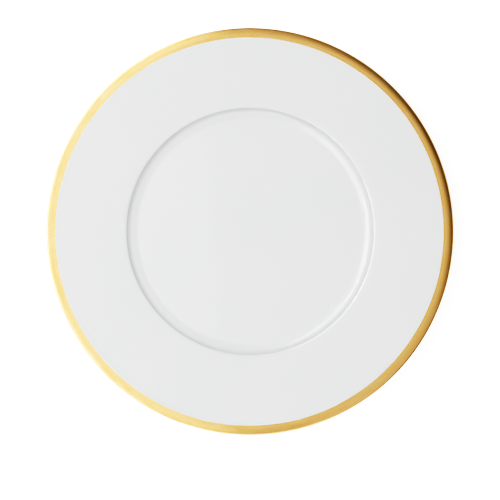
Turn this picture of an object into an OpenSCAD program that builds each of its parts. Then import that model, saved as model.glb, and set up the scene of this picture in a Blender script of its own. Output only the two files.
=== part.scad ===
// Wide-rim porcelain dinner plate with a gilded lip.
// One fired clay body turned about +Z, its glaze in two skins parted by the bare foot ring,
// and a gold band fired over the glaze round the lip. Millimetres; the foot stands on z = 0.

/* [Plate] */
// Finished diameter over the gilded lip
plate_d = 310; // [280:1:330]
// Finished height, from the foot to the top of the lip
plate_h = 19.3; // [18:0.1:22]
// Rise of the rim's upper face towards the crest of the lip, in degrees
rim_rise = 4.3; // [3:0.1:5]
// Rise of the rim's underside towards the lip, in degrees
under_rise = 6.3; // [5.5:0.1:7]

/* [Lip] */
// Distance in from the finished edge at which the rim stops rising and starts to fall
crest_in = 4.3; // [3.5:0.1:6]
// Fall of the upper face from the crest to the edge, in degrees
lip_fall = 4; // [2:0.5:8]
// Share of the falling face that the rounding of the crest takes up
crest_share = 0.92; // [0.5:0.01:0.95]
// Width over which the clay's upper face rolls down to the tip of the lip
lip_top_w = 0.5; // [0.4:0.1:1]
// Height of the clay's upper face above the tip of the lip
lip_top_h = 0.3; // [0.2:0.05:0.5]
// Width over which the clay's underside rolls up to the tip of the lip
lip_under_w = 2.5; // [1.6:0.1:3.2]
// Depth of the clay's underside below the tip of the lip
lip_under_h = 0.95; // [0.8:0.05:1.4]

/* [Well] */
// Radius of the crisp edge where the well drops from the rim
well_r = 94.7; // [90:0.1:98]
// Height of the clay well floor above the table
floor_z = 9.1; // [8.4:0.1:9.5]
// Slope of the wall just under the well's edge, in degrees
wall_slope = 69; // [60:1:75]
// Slope of the apron, where the floor starts to rise towards the wall, in degrees
apron_slope = 15.5; // [12:0.5:18]
// Width of that apron
apron_w = 6.8; // [6:0.1:7.4]
// Share of what the cove leaves of the apron that the rounding at the apron's foot takes up
apron_share = 0.3; // [0.2:0.05:0.9]
// Share of the wall's length that the cove at its foot takes up
cove_share = 0.75; // [0.6:0.01:0.85]
// Share of the wall's length that the rounding of the well's edge takes up
edge_share = 0.09; // [0.04:0.01:0.1]
// Slope of the narrow brow just outside the well's edge, in degrees
brow_slope = 17.5; // [14:0.5:20]
// Width of that brow
brow_w = 1.4; // [1.2:0.1:1.8]
// Rounding between the brow and the shoulder
brow_round = 3; // [2:0.5:5]
// Slope of the shoulder outside the brow, in degrees
shoulder_slope = 5.5; // [5.2:0.1:8]
// Width of the brow and the shoulder together
shoulder_w = 5; // [4.5:0.1:6]
// Rounding between the shoulder and the rim's upper face
shoulder_round = 50; // [20:1:60]

/* [Foot] */
// Outer radius of the foot where it stands
foot_r = 86.3; // [84:0.1:87]
// Width of the foot's clay before its corners are rounded
foot_w = 5; // [4:0.1:6]
// Slope of the foot's outer wall, in degrees
foot_slope = 50; // [46:1:56]
// Radius where the foot's outer wall ends and the bowl's underside begins
heel_r = 90.5; // [89.8:0.1:91]
// Slope of the bowl's underside between the foot and the rim, in degrees
bowl_slope = 32; // [29:0.5:35]
// Rounding between the foot's outer wall and the bowl's underside
heel_round = 12; // [6:1:16]
// Rounding between the bowl's underside and the rim's underside
neck_round = 14; // [8:1:20]
// Rounding of the foot's outer standing corner
foot_outer_round = 2.6; // [0.8:0.1:3]
// Rounding of the foot's inner standing corner
foot_inner_round = 0.8; // [0.5:0.1:1.2]
// Slope of the foot's inner wall, in degrees
foot_inner_slope = 60; // [50:1:70]
// Height of the clay base above the table, inside the foot
base_z = 3.5; // [2.4:0.1:4]
// Rounding between the foot's inner wall and the base
base_round = 2; // [1:0.1:3]

/* [Glaze and gold] */
// Thickness of the glaze
glaze_t = 0.35; // [0.25:0.05:0.5]
// Height above the table to which the glaze is wiped off the foot
wiped_z = 0.9; // [0.6:0.1:1.4]
// Thickness of the gold band
gold_t = 0.15; // [0.1:0.05:0.2]
// Width of the gold band on the rim's upper face
gold_top_w = 7.2; // [4:0.1:12]
// Width of the gold band on the rim's underside
gold_under_w = 9.5; // [3:0.1:12]

/* [Hidden] */

// Facets round the axis, and the widest step and fewest steps of a rounded corner
$fn = 240;
arc_step = 5;
arc_steps_min = 4;

// The clay lies inside the glaze and the gold, which make up the finished size
skins_t = glaze_t + gold_t;
tip_r = plate_d / 2 - skins_t;

// The lip is two quarters of ellipses that share its tip. These are the angles on them where
// they run into the straight faces above and below.
lip_top_end = 90 - atan(tan(lip_fall) * lip_top_w / lip_top_h);
lip_under_end = -90 + atan(tan(under_rise) * lip_under_w / lip_under_h);

// The crest, whose rounded top is the highest part of the plate, and the fall from it to the tip
crest_r = plate_d / 2 - crest_in;
lip_top_r = tip_r - lip_top_w * (1 - cos(lip_top_end));
fall_len = (lip_top_r - crest_r) / cos(lip_fall);
crest_turn = rim_rise + lip_fall;
crest_round = crest_share * fall_len / tan(crest_turn / 2);
crest_z = plate_h - skins_t + crest_round * (tan(crest_turn / 2) * sin(rim_rise) + cos(rim_rise) - 1);
tip_z = crest_z - (lip_top_r - crest_r) * tan(lip_fall) - lip_top_h * sin(lip_top_end);
lip_top = lip_point(lip_top_w, lip_top_h, lip_top_end);
lip_under = lip_point(lip_under_w, lip_under_h, lip_under_end);

// Heights that the slopes give along the clay's upper face, and the roundings of the well's wall.
shoulder_r = well_r + shoulder_w;
shoulder_z = crest_z - (crest_r - shoulder_r) * tan(rim_rise);
brow_r = well_r + brow_w;
brow_z = shoulder_z - (shoulder_w - brow_w) * tan(shoulder_slope);
well_edge_z = brow_z - brow_w * tan(brow_slope);
cove_z = floor_z + apron_w * tan(apron_slope);
wall_len = (well_edge_z - cove_z) / sin(wall_slope);
cove_r = well_r - wall_len * cos(wall_slope);
cove_round = cove_share * wall_len / tan((wall_slope - apron_slope) / 2);
apron_r = cove_r - apron_w;
apron_round = apron_share * (apron_w / cos(apron_slope) - cove_share * wall_len) / tan(apron_slope / 2);
edge_round = edge_share * wall_len / tan((wall_slope - brow_slope) / 2);

// Where the bowl's underside meets the foot's outer wall and the rim's underside
heel_z = (heel_r - foot_r) * tan(foot_slope);
neck_r = (lip_under.y - heel_z - lip_under.x * tan(under_rise) + heel_r * tan(bowl_slope))
       / (tan(bowl_slope) - tan(under_rise));
neck_z = heel_z + (neck_r - heel_r) * tan(bowl_slope);

foot_inner_r = foot_r - foot_w;
base_r = foot_inner_r - base_z / tan(foot_inner_slope);

// Corners of the clay's half section, as radius, height and rounding: the face from the well's
// centre out to the lip, and the underside from the lip in to the base's centre
FACE = [
    [0, floor_z, 0],
    [apron_r, floor_z, apron_round],
    [cove_r, cove_z, cove_round],
    [well_r, well_edge_z, edge_round],
    [brow_r, brow_z, brow_round],
    [shoulder_r, shoulder_z, shoulder_round],
    [crest_r, crest_z, crest_round],
    [lip_top.x, lip_top.y, 0],
];
UNDERSIDE = [
    [lip_under.x, lip_under.y, 0],
    [neck_r, neck_z, neck_round],
    [heel_r, heel_z, heel_round],
    [foot_r, 0, foot_outer_round],
    [foot_inner_r, 0, foot_inner_round],
    [base_r, base_z, base_round],
    [0, base_z, 0],
];

// A vector turned by an angle, the normal on a direction's left, and a corner's place
function turned(v, a) = [v.x * cos(a) - v.y * sin(a), v.x * sin(a) + v.y * cos(a)];
function left(d) = [-d.y, d.x];
function place(corner) = [corner.x, corner.y];
function heading(from, to) = (place(to) - place(from)) / norm(place(to) - place(from));

// A point on the lip, for an ellipse quarter of width w and height h, and its outward normal
function lip_point(w, h, a) = [tip_r - w + w * cos(a), tip_z + h * sin(a)];
function lip_normal(w, h, a) = [cos(a) / w, sin(a) / h] / norm([cos(a) / w, sin(a) / h]);

// Samples are pairs of a point and its outward normal, with the clay on the right hand.
// A bend rounds corner p with radius r between directions d1 and d2, either way round.
function bend(p, d1, d2, r) =
    let (a = atan2(cross(d1, d2), d1 * d2))
    let (side = sign(a))
    let (centre = p - d1 * r * tan(abs(a) / 2) + side * r * left(d1))
    let (steps = max(arc_steps_min, ceil(abs(a) / arc_step)))
    [for (k = [0:steps]) let (n = turned(left(d1), a * k / steps)) [centre - side * r * n, n]];

function bends(c) = [
    for (i = [1:len(c) - 2])
        each bend(place(c[i]), heading(c[i - 1], c[i]), heading(c[i], c[i + 1]), c[i].z)
];

function lip(w, h, from, to) =
    let (steps = ceil(abs(to - from) / arc_step))
    [for (k = [0:steps]) let (a = from + (to - from) * k / steps) [lip_point(w, h, a), lip_normal(w, h, a)]];

SECTION = concat(
    [[[0, floor_z], [0, 1]]],
    bends(FACE),
    lip(lip_top_w, lip_top_h, lip_top_end, 0),
    lip(lip_under_w, lip_under_h, -arc_step, lip_under_end),
    bends(UNDERSIDE),
    [[[0, base_z], [0, -1]]]
);

// The outline of the clay grown by t on every side
function outline(t) = [for (s = SECTION) s[0] + t * s[1]];

// Half section of a coat that lies between two distances from the clay
module skin_section(inner, outer) {
    difference() {
        polygon(outline(outer));
        polygon(outline(inner));
    }
}

// The fired porcelain: well, cove, rim and foot ring in one piece, bare where it stands
module china_body() {
    color("linen") rotate_extrude() polygon(outline(0));
}

// The glaze over the face, round the lip and down the outside of the foot
module glaze_coat() {
    color("white") rotate_extrude() difference() {
        skin_section(0, glaze_t);
        translate([0, -plate_h]) square([plate_d, plate_h + wiped_z]);
        translate([0, -plate_h]) square([foot_r - foot_w / 2, plate_h + (floor_z + base_z) / 2]);
    }
}

// The glaze on the base, inside the foot
module base_glaze() {
    color("whitesmoke") rotate_extrude() intersection() {
        skin_section(0, glaze_t);
        translate([0, wiped_z]) square([foot_r - foot_w / 2, (floor_z + base_z) / 2 - wiped_z]);
    }
}

// The gold, fired over the glaze and wrapped round the lip
module gold_band() {
    color("goldenrod") rotate_extrude() difference() {
        skin_section(glaze_t, skins_t);
        translate([0, -plate_h]) square([plate_d / 2 - gold_under_w, 2 * plate_h]);
        translate([0, tip_z]) square([plate_d / 2 - gold_top_w, plate_h]);
    }
}

china_body();
glaze_coat();
base_glaze();
gold_band();
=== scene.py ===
"""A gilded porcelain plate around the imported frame: clay, two glaze skins and a gold band.

Every piece is turned from the same half section as the CAD, with finer arcs, soft film edges,
pooled glaze, a trace of firing warp and a hand-banded gold edge. Metres; the foot stands on z = 0.
"""
import bisect
import math

import bpy
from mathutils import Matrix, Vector


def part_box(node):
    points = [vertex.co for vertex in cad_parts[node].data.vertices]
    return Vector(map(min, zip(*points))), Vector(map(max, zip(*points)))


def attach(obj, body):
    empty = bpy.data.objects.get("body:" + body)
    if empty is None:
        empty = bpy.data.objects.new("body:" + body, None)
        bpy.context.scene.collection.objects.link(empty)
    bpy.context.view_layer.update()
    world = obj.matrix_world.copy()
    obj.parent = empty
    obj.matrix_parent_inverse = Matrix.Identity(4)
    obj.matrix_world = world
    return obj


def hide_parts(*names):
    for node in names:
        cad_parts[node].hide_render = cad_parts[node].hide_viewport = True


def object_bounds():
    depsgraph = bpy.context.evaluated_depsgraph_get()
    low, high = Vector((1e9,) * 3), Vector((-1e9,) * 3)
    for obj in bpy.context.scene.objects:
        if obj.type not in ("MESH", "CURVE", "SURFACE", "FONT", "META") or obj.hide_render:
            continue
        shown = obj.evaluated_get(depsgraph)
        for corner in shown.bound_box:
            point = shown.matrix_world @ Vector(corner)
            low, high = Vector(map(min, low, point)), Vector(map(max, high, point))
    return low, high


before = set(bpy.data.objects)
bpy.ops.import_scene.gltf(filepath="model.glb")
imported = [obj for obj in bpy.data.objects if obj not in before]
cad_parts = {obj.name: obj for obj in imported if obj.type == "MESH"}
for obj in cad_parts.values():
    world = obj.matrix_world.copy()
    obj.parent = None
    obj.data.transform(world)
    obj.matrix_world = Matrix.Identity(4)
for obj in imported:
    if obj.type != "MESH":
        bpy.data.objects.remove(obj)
cad_low, cad_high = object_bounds()

MM = 0.001

# Points of the section closer than CLOSE are one, and a radius under ON_AXIS is on the axis
CLOSE = 1e-7
ON_AXIS = 1e-9


# ---------------------------------------------------------------- sizes from the frame

def outer_radius(node):
    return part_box(node)[1].x


CLAY_R = outer_radius("china_body")
GLAZE_T = outer_radius("glaze_coat") - CLAY_R
GOLD_T = outer_radius("gold_band") - outer_radius("glaze_coat")
WIPED_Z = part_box("glaze_coat")[0].z
PLATE_R = cad_high.x
PLATE_H = round(cad_high.z, 4)

# ---------------------------------------------------------------- the clay's half section, as in the CAD

RIM_RISE = math.radians(4.3)
UNDER_RISE = math.radians(6.3)
CREST_IN = 4.3 * MM
LIP_FALL = math.radians(4)
CREST_SHARE = 0.92
LIP_TOP_W = 0.5 * MM
LIP_TOP_H = 0.3 * MM
LIP_UNDER_W = 2.5 * MM
LIP_UNDER_H = 0.95 * MM
WELL_R = 94.7 * MM
FLOOR_Z = 9.1 * MM
WALL_SLOPE = math.radians(69)
APRON_SLOPE = math.radians(15.5)
APRON_W = 6.8 * MM
APRON_SHARE = 0.3
COVE_SHARE = 0.75
EDGE_SHARE = 0.09
BROW_SLOPE = math.radians(17.5)
BROW_W = 1.4 * MM
BROW_ROUND = 3 * MM
SHOULDER_SLOPE = math.radians(5.5)
SHOULDER_W = 5 * MM
SHOULDER_ROUND = 50 * MM
FOOT_R = 86.3 * MM
FOOT_W = 5 * MM
FOOT_SLOPE = math.radians(50)
HEEL_R = 90.5 * MM
BOWL_SLOPE = math.radians(32)
HEEL_ROUND = 12 * MM
NECK_ROUND = 14 * MM
FOOT_OUTER_ROUND = 2.6 * MM
FOOT_INNER_ROUND = 0.8 * MM
FOOT_INNER_SLOPE = math.radians(60)
BASE_Z = 3.5 * MM
BASE_ROUND = 2 * MM
GOLD_TOP_W = 7.2 * MM
GOLD_UNDER_W = 9.5 * MM

# The widest step and fewest steps of an arc, the widest gap between rings, the gap under which two
# rings are one, the step of a search along the outline, and the count of steps round the plate
ARC_STEP = math.radians(4)
ARC_STEPS_MIN = 5
RING_GAP = 8 * MM
RING_GAP_MIN = 0.004 * MM
SEARCH_STEP = 0.02 * MM
TURNS = 300


def left_of(d):
    """The normal on a direction's left."""
    return Vector((-d.y, d.x))


def turned(v, angle):
    """A vector turned by an angle."""
    c, s = math.cos(angle), math.sin(angle)
    return Vector((v.x * c - v.y * s, v.x * s + v.y * c))


def bend(before, corner, after, radius):
    """Points and outward normals round a corner of the section, with the clay on the right."""
    d1 = (corner - before).normalized()
    d2 = (after - corner).normalized()
    angle = math.atan2(d1.x * d2.y - d1.y * d2.x, d1.dot(d2))
    side = math.copysign(1, angle)
    centre = corner - d1 * radius * math.tan(abs(angle) / 2) + side * radius * left_of(d1)
    steps = max(ARC_STEPS_MIN, math.ceil(abs(angle) / ARC_STEP))
    normals = [turned(left_of(d1), angle * k / steps) for k in range(steps + 1)]
    return [(centre - side * radius * n, n) for n in normals]


def bends(corners):
    """Every inner corner of a chain of (radius, height, rounding), rounded."""
    samples = []
    for before, corner, after in zip(corners, corners[1:], corners[2:]):
        samples += bend(Vector(before[:2]), Vector(corner[:2]), Vector(after[:2]), corner[2])
    return samples


def lip(tip_z, width, height, start, end):
    """Points and outward normals along a quarter of an ellipse that ends at the lip's tip."""
    steps = math.ceil(abs(end - start) / ARC_STEP)
    samples = []
    for k in range(steps + 1):
        a = start + (end - start) * k / steps
        point = Vector((CLAY_R - width + width * math.cos(a), tip_z + height * math.sin(a)))
        samples.append((point, Vector((math.cos(a) / width, math.sin(a) / height)).normalized()))
    return samples


def clay_section():
    """The clay's half section from the well's centre, round the lip, to the base's centre."""
    top_end = math.pi / 2 - math.atan(math.tan(LIP_FALL) * LIP_TOP_W / LIP_TOP_H)
    under_end = -math.pi / 2 + math.atan(math.tan(UNDER_RISE) * LIP_UNDER_W / LIP_UNDER_H)
    crest_r = PLATE_R - CREST_IN
    fall = CLAY_R - LIP_TOP_W * (1 - math.cos(top_end)) - crest_r
    half_turn = (RIM_RISE + LIP_FALL) / 2
    crest_round = CREST_SHARE * fall / math.cos(LIP_FALL) / math.tan(half_turn)
    crest_lift = crest_round * (math.tan(half_turn) * math.sin(RIM_RISE) + math.cos(RIM_RISE) - 1)
    crest_z = PLATE_H - GLAZE_T - GOLD_T + crest_lift
    tip_z = crest_z - fall * math.tan(LIP_FALL) - LIP_TOP_H * math.sin(top_end)
    upper_lip = lip(tip_z, LIP_TOP_W, LIP_TOP_H, top_end, 0)
    under_lip = lip(tip_z, LIP_UNDER_W, LIP_UNDER_H, 0, under_end)[1:]
    lip_top = upper_lip[0][0]
    lip_under = under_lip[-1][0]

    shoulder_r = WELL_R + SHOULDER_W
    shoulder_z = crest_z - (crest_r - shoulder_r) * math.tan(RIM_RISE)
    brow_z = shoulder_z - (SHOULDER_W - BROW_W) * math.tan(SHOULDER_SLOPE)
    well_edge_z = brow_z - BROW_W * math.tan(BROW_SLOPE)
    cove_z = FLOOR_Z + APRON_W * math.tan(APRON_SLOPE)
    wall = (well_edge_z - cove_z) / math.sin(WALL_SLOPE)
    cove_r = WELL_R - wall * math.cos(WALL_SLOPE)
    cove_round = COVE_SHARE * wall / math.tan((WALL_SLOPE - APRON_SLOPE) / 2)
    apron = APRON_W / math.cos(APRON_SLOPE)
    apron_round = APRON_SHARE * (apron - COVE_SHARE * wall) / math.tan(APRON_SLOPE / 2)
    edge_round = EDGE_SHARE * wall / math.tan((WALL_SLOPE - BROW_SLOPE) / 2)

    heel_z = (HEEL_R - FOOT_R) * math.tan(FOOT_SLOPE)
    bowl, under = math.tan(BOWL_SLOPE), math.tan(UNDER_RISE)
    neck_r = (lip_under.y - heel_z - lip_under.x * under + HEEL_R * bowl) / (bowl - under)
    neck_z = heel_z + (neck_r - HEEL_R) * bowl
    foot_inner_r = FOOT_R - FOOT_W
    base_r = foot_inner_r - BASE_Z / math.tan(FOOT_INNER_SLOPE)

    face = bends([
        (0, FLOOR_Z, 0),
        (cove_r - APRON_W, FLOOR_Z, apron_round),
        (cove_r, cove_z, cove_round),
        (WELL_R, well_edge_z, edge_round),
        (WELL_R + BROW_W, brow_z, BROW_ROUND),
        (shoulder_r, shoulder_z, SHOULDER_ROUND),
        (crest_r, crest_z, crest_round),
        (lip_top.x, lip_top.y, 0),
    ])
    underside = bends([
        (lip_under.x, lip_under.y, 0),
        (neck_r, neck_z, NECK_ROUND),
        (HEEL_R, heel_z, HEEL_ROUND),
        (FOOT_R, 0, FOOT_OUTER_ROUND),
        (foot_inner_r, 0, FOOT_INNER_ROUND),
        (base_r, BASE_Z, BASE_ROUND),
        (0, BASE_Z, 0),
    ])
    first = [(Vector((0, FLOOR_Z)), Vector((0, 1)))]
    last = [(Vector((0, BASE_Z)), Vector((0, -1)))]
    return first + face + upper_lip + under_lip + underside + last


class Outline:
    """The clay's half section by the distance travelled along it."""

    def __init__(self, samples):
        self.samples = [samples[0]]
        for sample in samples[1:]:
            if (sample[0] - self.samples[-1][0]).length > CLOSE:
                self.samples.append(sample)
        self.marks = [0.0]
        for (p, _), (q, _) in zip(self.samples, self.samples[1:]):
            self.marks.append(self.marks[-1] + (q - p).length)
        self.end = self.marks[-1]

    def at(self, distance):
        """The point and outward normal at a distance along the outline."""
        k = min(max(bisect.bisect_right(self.marks, distance) - 1, 0), len(self.marks) - 2)
        (p, n), (q, m) = self.samples[k], self.samples[k + 1]
        share = (distance - self.marks[k]) / (self.marks[k + 1] - self.marks[k])
        return p.lerp(q, share), n.lerp(m, share).normalized()

    def where(self, test, after=0.0):
        """The first distance past `after` at which test(point) turns true."""
        distance = after
        while distance < self.end and not test(self.at(distance)[0]):
            distance += SEARCH_STEP
        return distance

    def stops(self, start, end):
        """The outline's own marks between two distances, with the long straights cut up."""
        inner = [m for m in self.marks if start < m < end]
        stops = [start]
        for mark in inner + [end]:
            gap = mark - stops[-1]
            parts = max(1, math.ceil(gap / RING_GAP))
            origin = stops[-1]
            stops += [origin + gap * k / parts for k in range(1, parts + 1)]
        return stops


# Places along the outline: the lip's tip, the glaze's two wiped edges and the gold's two edges
TIP_GAP = 0.001 * MM
clay = Outline(clay_section())
TIP = clay.where(lambda p: p.x >= CLAY_R - TIP_GAP)
GLAZE_END = clay.where(lambda p: p.y <= WIPED_Z, TIP)
BASE_START = clay.where(lambda p: p.x < FOOT_R - FOOT_W and p.y >= WIPED_Z, GLAZE_END)
GOLD_START = clay.where(lambda p: p.x >= PLATE_R - GOLD_TOP_W)
GOLD_END = clay.where(lambda p: p.x <= PLATE_R - GOLD_UNDER_W, TIP)


# ---------------------------------------------------------------- meshes turned from the section

# The rim is out of true, and the gold banded by hand, by a few waves of (turns, reach, phase)
WARP_WAVES = [(2, 0.07 * MM, 0.7), (3, 0.04 * MM, 2.1)]
TOP_EDGE_WAVES = [
    (1, 0.45 * MM, 2.8),
    (3, 0.07 * MM, 0.4),
    (7, 0.05 * MM, 2.0),
    (13, 0.035 * MM, 4.1),
    (29, 0.02 * MM, 1.2),
]
UNDER_EDGE_WAVES = [
    (2, 0.12 * MM, 1.4),
    (5, 0.09 * MM, 3.3),
    (11, 0.06 * MM, 0.2),
    (23, 0.03 * MM, 5.0),
]
EDGE_REACH = 3 * MM


def waves_at(waves, angle):
    """The sum of the waves at an angle round the plate."""
    return sum(reach * math.cos(turns * angle + phase) for turns, reach, phase in waves)


def warp(radius, angle):
    """Height that firing left the rim out of true, growing from the well's edge to the lip."""
    share = max(0.0, (radius - WELL_R) / (PLATE_R - WELL_R))
    return share * share * waves_at(WARP_WAVES, angle)


def turn_mesh(name, ring_points):
    """A closed turned mesh. ring_points(angle) lists (radius, height) round the whole section.

    A radius of zero is a pole, which is one vertex. A section that starts and ends off the axis
    is closed on itself.
    """
    verts = []
    columns = []
    for j in range(TURNS):
        angle = 2 * math.pi * j / TURNS
        column = []
        for k, (radius, height) in enumerate(ring_points(angle)):
            if radius < ON_AXIS and j > 0:
                column.append(columns[0][k])
                continue
            column.append(len(verts))
            z = height + warp(radius, angle)
            verts.append((radius * math.cos(angle), radius * math.sin(angle), z))
        columns.append(column)
    faces = []
    count = len(columns[0])
    closed_on_itself = math.hypot(*verts[columns[0][0]][:2]) > ON_AXIS
    pairs = count if closed_on_itself else count - 1
    for j in range(TURNS):
        here, there = columns[j], columns[(j + 1) % TURNS]
        for k in range(pairs):
            ahead = (k + 1) % count
            face = list(dict.fromkeys([here[k], here[ahead], there[ahead], there[k]]))
            if len(face) > 2:
                faces.append(face)
    mesh = bpy.data.meshes.new(name)
    mesh.from_pydata(verts, [], faces)
    mesh.validate()
    mesh.shade_smooth()
    piece = bpy.data.objects.new(name, mesh)
    bpy.context.scene.collection.objects.link(piece)
    return piece


def ease(share):
    """A smooth step from 0 to 1."""
    share = min(max(share, 0.0), 1.0)
    return share * share * (3 - 2 * share)


def film_edge(distance, width):
    """Share of a film's thickness at a distance from its edge: a quarter of an ellipse."""
    share = min(max(distance / width, 0.0), 1.0)
    return math.sqrt(1 - (1 - share) ** 2)


def edge_stops(edge, inward, width, count=7):
    """Distances along the outline that resolve a film's rounded edge."""
    return [edge + inward * width * (1 - math.cos(math.pi / 2 * k / count)) for k in range(count + 1)]


def even_stops(start, end, count):
    """Distances in equal steps."""
    return [start + (end - start) * k / count for k in range(count + 1)]


def joined(*groups):
    """Stops in order, without any that nearly coincide."""
    kept = []
    for stop in sorted(stop for group in groups for stop in group):
        if not kept or stop - kept[-1] > RING_GAP_MIN:
            kept.append(stop)
    return kept


# Glaze gathers in the cove, and banks up towards the gold, whose inner edge lies flush with it
POOL_R = 91 * MM
POOL_W = 3 * MM
POOL_T = 0.06 * MM
BANK_W = 12 * MM
DIP = 0.03 * MM
DIP_W = 1.0 * MM
GLAZE_EDGE_W = 0.6 * MM
GOLD_EDGE_W = 0.35 * MM


def gold_thickness(distance):
    """The gold film, which thins to nothing at both of its edges."""
    inner = film_edge(distance - GOLD_START, GOLD_EDGE_W)
    outer = film_edge(GOLD_END - distance, GOLD_EDGE_W)
    return GOLD_T * min(inner, outer)


def glaze_thickness(distance):
    """The glaze on the face and round the lip, down to its wiped edge on the foot."""
    if distance > TIP:
        return GLAZE_T * film_edge(GLAZE_END - distance, GLAZE_EDGE_W)
    if distance > GOLD_START:
        past = distance - GOLD_START
        return GLAZE_T + GOLD_T - gold_thickness(distance) + DIP * (1 - ease(past / DIP_W))
    bank = (GOLD_T + DIP) * ease(1 - (GOLD_START - distance) / BANK_W)
    radius = clay.at(distance)[0].x
    return GLAZE_T + bank + POOL_T * math.exp(-((radius - POOL_R) / POOL_W) ** 2)


def base_glaze_thickness(distance):
    """The glaze on the base, from its wiped edge inside the foot."""
    return GLAZE_T * film_edge(distance - BASE_START, GLAZE_EDGE_W)


def on_the_clay(distance):
    """The floor of a film that lies straight on the clay."""
    return 0.0


def strayed(stops, angle):
    """The stops at one angle round the plate, with those near the gold's edges moved along."""
    placed = []
    for stop in stops:
        for edge, waves in ((GOLD_START, TOP_EDGE_WAVES), (GOLD_END, UNDER_EDGE_WAVES)):
            share = max(0.0, 1 - abs(stop - edge) / EDGE_REACH)
            if share > 0:
                stop += share * waves_at(waves, angle)
        placed.append(stop)
    return placed


def film_mesh(name, stops, floor, thickness):
    """A film over a floor, as heights above the clay. It starts or ends on the axis, or is a band."""
    floors = [floor(stop) for stop in stops]
    tops = [low + thickness(stop) for low, stop in zip(floors, stops)]

    def ring(angle):
        spots = [clay.at(place) for place in strayed(stops, angle)]
        top = [tuple(point + normal * height) for (point, normal), height in zip(spots, tops)]
        under = [tuple(point + normal * height) for (point, normal), height in zip(spots, floors)]
        if stops[-1] == clay.end:
            return under[::-1] + top[1:]
        if stops[0] == 0:
            return top + under[-2::-1]
        return top + under[-2:0:-1]

    return turn_mesh(name, ring)


def make_clay():
    points = [tuple(clay.at(stop)[0]) for stop in clay.stops(0, clay.end)]
    return turn_mesh("fired_clay", lambda angle: points)


def make_glaze_coat():
    stops = joined(
        clay.stops(0, GLAZE_END - GLAZE_EDGE_W),
        even_stops(GOLD_START - BANK_W, GOLD_START - DIP_W, 7),
        even_stops(GOLD_START - DIP_W, GOLD_START + DIP_W, 8),
        edge_stops(GOLD_START, 1, GOLD_EDGE_W),
        edge_stops(GLAZE_END, -1, GLAZE_EDGE_W),
    )
    return film_mesh("glaze_over_face_and_rim", stops, on_the_clay, glaze_thickness)


def make_base_glaze():
    stops = joined(
        edge_stops(BASE_START, 1, GLAZE_EDGE_W),
        clay.stops(BASE_START + GLAZE_EDGE_W, clay.end),
    )
    return film_mesh("glaze_under_base", stops, on_the_clay, base_glaze_thickness)


def make_gold():
    stops = joined(
        edge_stops(GOLD_START, 1, GOLD_EDGE_W),
        even_stops(GOLD_START + GOLD_EDGE_W, GOLD_START + EDGE_REACH, 10),
        clay.stops(GOLD_START + EDGE_REACH, GOLD_END - EDGE_REACH),
        even_stops(GOLD_END - EDGE_REACH, GOLD_END - GOLD_EDGE_W, 4),
        edge_stops(GOLD_END, -1, GOLD_EDGE_W),
    )
    return film_mesh("gold_banding", stops, glaze_thickness, gold_thickness)


# ---------------------------------------------------------------- materials

# Colours by the level of the noise that picks them, and the heights of the surfaces' fine relief
GLAZE_TONES = [(0.3, (0.797, 0.812, 0.803)), (0.7, (0.812, 0.822, 0.811))]
CLAY_TONES = [(0.3, (0.74, 0.715, 0.66)), (0.7, (0.84, 0.82, 0.775))]
GOLD_TONES = [(0.38, (0.93, 0.655, 0.34)), (0.5, (0.95, 0.68, 0.38)), (0.62, (0.97, 0.705, 0.42))]
RIPPLE_H = 0.03 * MM
PIT_H = 0.002 * MM
GRAIN_H = 0.05 * MM
BRUSH_H = 0.002 * MM


class Nodes:
    """A small helper to lay out a material's nodes."""

    def __init__(self, name):
        self.material = bpy.data.materials.new(name)
        self.material.use_nodes = True
        self.tree = self.material.node_tree
        self.shader = self.tree.nodes["Principled BSDF"]

    def add(self, kind, **inputs):
        node = self.tree.nodes.new(kind)
        for key, value in inputs.items():
            if key in node.inputs:
                node.inputs[key].default_value = value
            else:
                setattr(node, key, value)
        return node

    def link(self, source, target):
        self.tree.links.new(source, target)

    def math(self, operation, first, second):
        node = self.tree.nodes.new("ShaderNodeMath")
        node.operation = operation
        for socket, value in zip(node.inputs, (first, second)):
            if hasattr(value, "links"):
                self.link(value, socket)
            else:
                socket.default_value = value
        return node.outputs[0]

    def noise(self, vector, scale, detail=2.0, roughness=0.5):
        node = self.add("ShaderNodeTexNoise", Scale=scale, Detail=detail, Roughness=roughness)
        self.link(vector, node.inputs["Vector"])
        return node.outputs["Fac"]

    def ramp(self, factor, stops):
        node = self.tree.nodes.new("ShaderNodeValToRGB")
        elements = node.color_ramp.elements
        elements[0].position, elements[0].color = stops[0][0], (*stops[0][1], 1)
        elements[1].position, elements[1].color = stops[-1][0], (*stops[-1][1], 1)
        for position, colour in stops[1:-1]:
            elements.new(position).color = (*colour, 1)
        self.link(factor, node.inputs["Fac"])
        return node.outputs["Color"]

    def map_range(self, value, start, end, low, high):
        node = self.tree.nodes.new("ShaderNodeMapRange")
        node.inputs["From Min"].default_value = start
        node.inputs["From Max"].default_value = end
        node.inputs["To Min"].default_value = low
        node.inputs["To Max"].default_value = high
        self.link(value, node.inputs["Value"])
        return node.outputs["Result"]

    def spread(self, factor, low, high):
        """A noise, which mostly lies between 0.3 and 0.7, spread from low to high."""
        return self.map_range(factor, 0.3, 0.7, low, high)

    def position(self):
        """The place on the piece, in metres."""
        return self.add("ShaderNodeTexCoord").outputs["Object"]

    def bump(self, height, distance, strength=1.0, under=None):
        node = self.add("ShaderNodeBump", Strength=strength, Distance=distance)
        self.link(height, node.inputs["Height"])
        if under is not None:
            self.link(under, node.inputs["Normal"])
        return node.outputs["Normal"]


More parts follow.
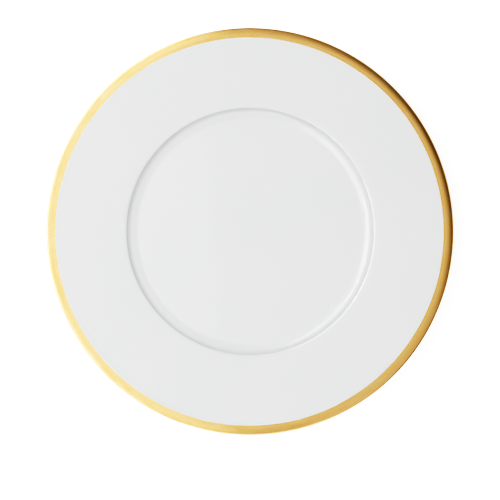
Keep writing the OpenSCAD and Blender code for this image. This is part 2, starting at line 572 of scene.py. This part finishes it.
def turned_coordinates(nodes, around, across):
    """Coordinates that stretch a noise round the plate's axis: `around` and `across` are scales."""
    split = nodes.tree.nodes.new("ShaderNodeSeparateXYZ")
    nodes.link(nodes.position(), split.inputs[0])
    x, y, z = split.outputs
    squares = nodes.math("ADD", nodes.math("MULTIPLY", x, x), nodes.math("MULTIPLY", y, y))
    radius = nodes.math("SQRT", squares, 0)
    join = nodes.tree.nodes.new("ShaderNodeCombineXYZ")
    nodes.link(nodes.math("MULTIPLY", nodes.math("DIVIDE", x, radius), around), join.inputs[0])
    nodes.link(nodes.math("MULTIPLY", nodes.math("DIVIDE", y, radius), around), join.inputs[1])
    nodes.link(nodes.math("MULTIPLY", nodes.math("ADD", radius, z), across), join.inputs[2])
    return join.outputs[0]


def glaze_material():
    """Clear gloss over cool white porcelain, with the faint ripple of a fired glaze."""
    nodes = Nodes("glazed_porcelain")
    place = nodes.position()
    tone = nodes.noise(place, 14, 3)
    colour = nodes.ramp(tone, GLAZE_TONES)
    nodes.link(colour, nodes.shader.inputs["Base Color"])
    nodes.link(nodes.spread(nodes.noise(place, 60, 4), 0.04, 0.08), nodes.shader.inputs["Roughness"])
    ripple = nodes.bump(nodes.noise(place, 45, 2), RIPPLE_H)
    pitted = nodes.bump(nodes.noise(place, 420, 2), PIT_H, under=ripple)
    nodes.link(pitted, nodes.shader.inputs["Normal"])
    nodes.shader.inputs["IOR"].default_value = 1.5
    return nodes.material


def clay_material():
    """Bare fired porcelain where the foot was wiped: matt and finely grained."""
    nodes = Nodes("bare_porcelain")
    place = nodes.position()
    grain = nodes.noise(place, 2600, 4, 0.7)
    tone = nodes.noise(turned_coordinates(nodes, 9, 900), 1.0, 4)
    colour = nodes.ramp(tone, CLAY_TONES)
    nodes.link(colour, nodes.shader.inputs["Base Color"])
    nodes.link(nodes.spread(grain, 0.62, 0.85), nodes.shader.inputs["Roughness"])
    nodes.link(nodes.bump(grain, GRAIN_H), nodes.shader.inputs["Normal"])
    return nodes.material


def gold_material():
    """Fired gold, brushed on round the lip: satin, streaked along the stroke."""
    nodes = Nodes("brushed_gold")
    strokes = nodes.noise(turned_coordinates(nodes, 14, 900), 1.0, 4, 0.6)
    patches = nodes.noise(turned_coordinates(nodes, 9, 160), 1.0, 3)
    blend = nodes.math("ADD", nodes.math("MULTIPLY", strokes, 0.5), nodes.math("MULTIPLY", patches, 0.5))
    colour = nodes.ramp(blend, GOLD_TONES)
    nodes.link(colour, nodes.shader.inputs["Base Color"])
    nodes.shader.inputs["Metallic"].default_value = 1.0
    nodes.link(nodes.spread(blend, 0.11, 0.17), nodes.shader.inputs["Roughness"])
    fine = nodes.noise(turned_coordinates(nodes, 40, 5000), 1.0, 3)
    nodes.link(nodes.bump(fine, BRUSH_H), nodes.shader.inputs["Normal"])
    return nodes.material


# ---------------------------------------------------------------- stage: floor, light and camera

# The camera looks straight down from CAMERA_RISE above the lip, where FRAME_W fills its view. The
# sensor is in millimetres, as Blender has it.
SENSOR = 36
CAMERA_RISE = 1.2
FRAME_W = 380.4 * MM
AIM = Vector((0, -14.1 * MM, PLATE_H))


def make_camera():
    data = bpy.data.cameras.new("plan_camera")
    data.sensor_width = SENSOR
    data.lens = SENSOR * CAMERA_RISE / FRAME_W
    camera = bpy.data.objects.new("plan_camera", data)
    camera.location = AIM + Vector((0, 0, CAMERA_RISE))
    bpy.context.scene.collection.objects.link(camera)
    bpy.context.scene.camera = camera


# The floor reaches this far each way. It is two sheets: the one that is seen glows white, and the
# one just under it throws light up, more on the plate's left than on its right.
FLOOR_REACH = 30
FLOOR_GLOW = 0.7
FLOOR_GAP = 1 * MM
BOUNCE_LEFT = 0.55
BOUNCE_RIGHT = 0.1


def toward(azimuth, tilt):
    """The direction at an azimuth from +X and a tilt from straight up, both in degrees."""
    azimuth, tilt = math.radians(azimuth), math.radians(tilt)
    return Vector((math.sin(tilt) * math.cos(azimuth), math.sin(tilt) * math.sin(azimuth), math.cos(tilt)))


def softbox(name, azimuth, tilt, distance, width, height, radiance):
    """A flat soft light that faces the plate from an azimuth and a tilt off the vertical.

    Its power follows from its radiance and its size.
    """
    data = bpy.data.lights.new(name, "AREA")
    data.shape = "RECTANGLE"
    data.size = width
    data.size_y = height
    data.energy = radiance * math.pi * width * height
    light = bpy.data.objects.new(name, data)
    light.location = toward(azimuth, tilt) * distance
    light.rotation_euler = (-light.location).to_track_quat("-Z", "Y").to_euler()
    light.visible_camera = False
    bpy.context.scene.collection.objects.link(light)


def stage_sheet(name, height):
    """A plain pale sheet of the stage, and the shader that its glow is set on."""
    corners = [(x * FLOOR_REACH, y * FLOOR_REACH, height) for x, y in ((-1, -1), (1, -1), (1, 1), (-1, 1))]
    mesh = bpy.data.meshes.new(name)
    mesh.from_pydata(corners, [], [(0, 1, 2, 3)])
    sheet = bpy.data.objects.new(name, mesh)
    bpy.context.scene.collection.objects.link(sheet)
    nodes = Nodes(name)
    nodes.shader.inputs["Base Color"].default_value = (0.9, 0.9, 0.9, 1)
    nodes.shader.inputs["Roughness"].default_value = 0.9
    nodes.shader.inputs["Specular IOR Level"].default_value = 0.0
    nodes.shader.inputs["Emission Color"].default_value = (1, 1, 1, 1)
    mesh.materials.append(nodes.material)
    return sheet, nodes


def make_floor():
    """The floor that is seen, and just under it the one that throws light back up at the plate."""
    seen, nodes = stage_sheet("floor", 0)
    nodes.shader.inputs["Emission Strength"].default_value = FLOOR_GLOW
    seen.visible_diffuse = False
    seen.visible_glossy = False
    seen.visible_shadow = False
    bounce, nodes = stage_sheet("floor_bounce", -FLOOR_GAP)
    across = nodes.tree.nodes.new("ShaderNodeSeparateXYZ")
    nodes.link(nodes.position(), across.inputs[0])
    glow = nodes.map_range(across.outputs["X"], -PLATE_R, PLATE_R, BOUNCE_LEFT, BOUNCE_RIGHT)
    nodes.link(glow, nodes.shader.inputs["Emission Strength"])
    bounce.visible_camera = False


# How bright the studio is in each direction, by how far the direction points along STUDIO_AXIS, an
# azimuth in degrees: from -1, straight against it, to 1. No level is over STUDIO_PEAK.
STUDIO_AXIS = 208
STUDIO_PEAK = 2.0
STUDIO = [
    (-1.0, 0.85),
    (-0.6, 0.75),
    (-0.5, 0.48),
    (-0.38, 0.18),
    (-0.24, 0.18),
    (-0.125, 0.6),
    (-0.02, 0.76),
    (0.15, 0.56),
    (0.3, 0.62),
    (0.45, 0.62),
    (0.6, 0.66),
    (0.8, 0.3),
    (1.0, 0.3),
]
WHITE_GROUND = 1.45


def make_world():
    """The studio round the plate, with a dark stretch that shows in the gold on the right.

    It lights the plate and shows in its gloss. The camera sees a plain white ground in its place.
    """
    world = bpy.data.worlds.new("studio")
    bpy.context.scene.world = world
    world.use_nodes = True
    tree = world.node_tree
    direction = tree.nodes.new("ShaderNodeTexCoord").outputs["Generated"]
    along = tree.nodes.new("ShaderNodeVectorMath")
    along.operation = "DOT_PRODUCT"
    along.inputs[1].default_value = toward(STUDIO_AXIS, 90)
    share = tree.nodes.new("ShaderNodeMath")
    share.operation = "MULTIPLY_ADD"
    share.inputs[1].default_value = 0.5
    share.inputs[2].default_value = 0.5
    ramp = tree.nodes.new("ShaderNodeValToRGB")
    elements = ramp.color_ramp.elements
    elements.remove(elements[1])
    for place, level in STUDIO:
        grey = level / STUDIO_PEAK
        elements.new((place + 1) / 2).color = (grey, grey, grey, 1)
    elements.remove(elements[0])
    background = tree.nodes["Background"]
    background.inputs["Strength"].default_value = STUDIO_PEAK
    tree.links.new(direction, along.inputs[0])
    tree.links.new(along.outputs["Value"], share.inputs[0])
    tree.links.new(share.outputs[0], ramp.inputs["Fac"])
    tree.links.new(ramp.outputs["Color"], background.inputs["Color"])
    ground = tree.nodes.new("ShaderNodeBackground")
    ground.inputs["Color"].default_value = (1, 1, 1, 1)
    ground.inputs["Strength"].default_value = WHITE_GROUND
    choose = tree.nodes.new("ShaderNodeMixShader")
    tree.links.new(tree.nodes.new("ShaderNodeLightPath").outputs["Is Camera Ray"], choose.inputs["Fac"])
    tree.links.new(background.outputs[0], choose.inputs[1])
    tree.links.new(ground.outputs[0], choose.inputs[2])
    tree.links.new(choose.outputs[0], tree.nodes["World Output"].inputs["Surface"])


# The picture's tone curve, from scene brightness to picture brightness
TONES = [
    (0.0, 0.0),
    (0.15, 0.02),
    (0.25, 0.1),
    (0.42, 0.35),
    (0.63, 0.65),
    (0.97, 0.9),
    (1.23, 0.98),
    (1.4, 1.0),
]


def make_view():
    """The tone curve, set on the scene's view."""
    view = bpy.context.scene.view_settings
    view.view_transform = "Standard"
    view.look = "None"
    view.use_curve_mapping = True
    mapping = view.curve_mapping
    white = TONES[-1][0]
    mapping.white_level = (white, white, white)
    all_channels = mapping.curves[3]
    for scene_level, picture_level in TONES[1:-1]:
        all_channels.points.new(scene_level / white, picture_level)
    mapping.update()


# Each light's name, azimuth, tilt, distance, width, height and radiance, as softbox takes them
LIGHTS = [
    ("overhead", 183, 25, 1.9, 1.3, 1.6, 0.5),
    ("key", 172, 37, 1.5, 1.0, 0.4, 2.0),
    ("key_strip", 172, 27, 1.5, 0.75, 0.15, 4.0),
    ("far_strip", 132, 28, 1.5, 0.6, 0.15, 3.3),
    ("near_strip", 217, 24, 1.5, 0.6, 0.13, 2.3),
    ("key_far", 122, 44, 1.5, 0.85, 0.7, 1.5),
    ("key_near", 232, 46, 1.5, 1.05, 0.5, 0.85),
    ("fill", 272, 45, 1.5, 0.8, 0.5, 1.7),
]

make_camera()
make_view()
make_world()
make_floor()
for light in LIGHTS:
    softbox(*light)

# ---------------------------------------------------------------- pieces

GLAZE = glaze_material()
PIECES = [
    (make_clay(), "china_body", "china", clay_material()),
    (make_glaze_coat(), "glaze_coat", "glaze", GLAZE),
    (make_base_glaze(), "base_glaze", "glaze", GLAZE),
    (make_gold(), "gold_band", "gold", gold_material()),
]
for piece, node, slot, material in PIECES:
    piece.data.materials.append(material)
    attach(piece, "root")
    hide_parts(node)
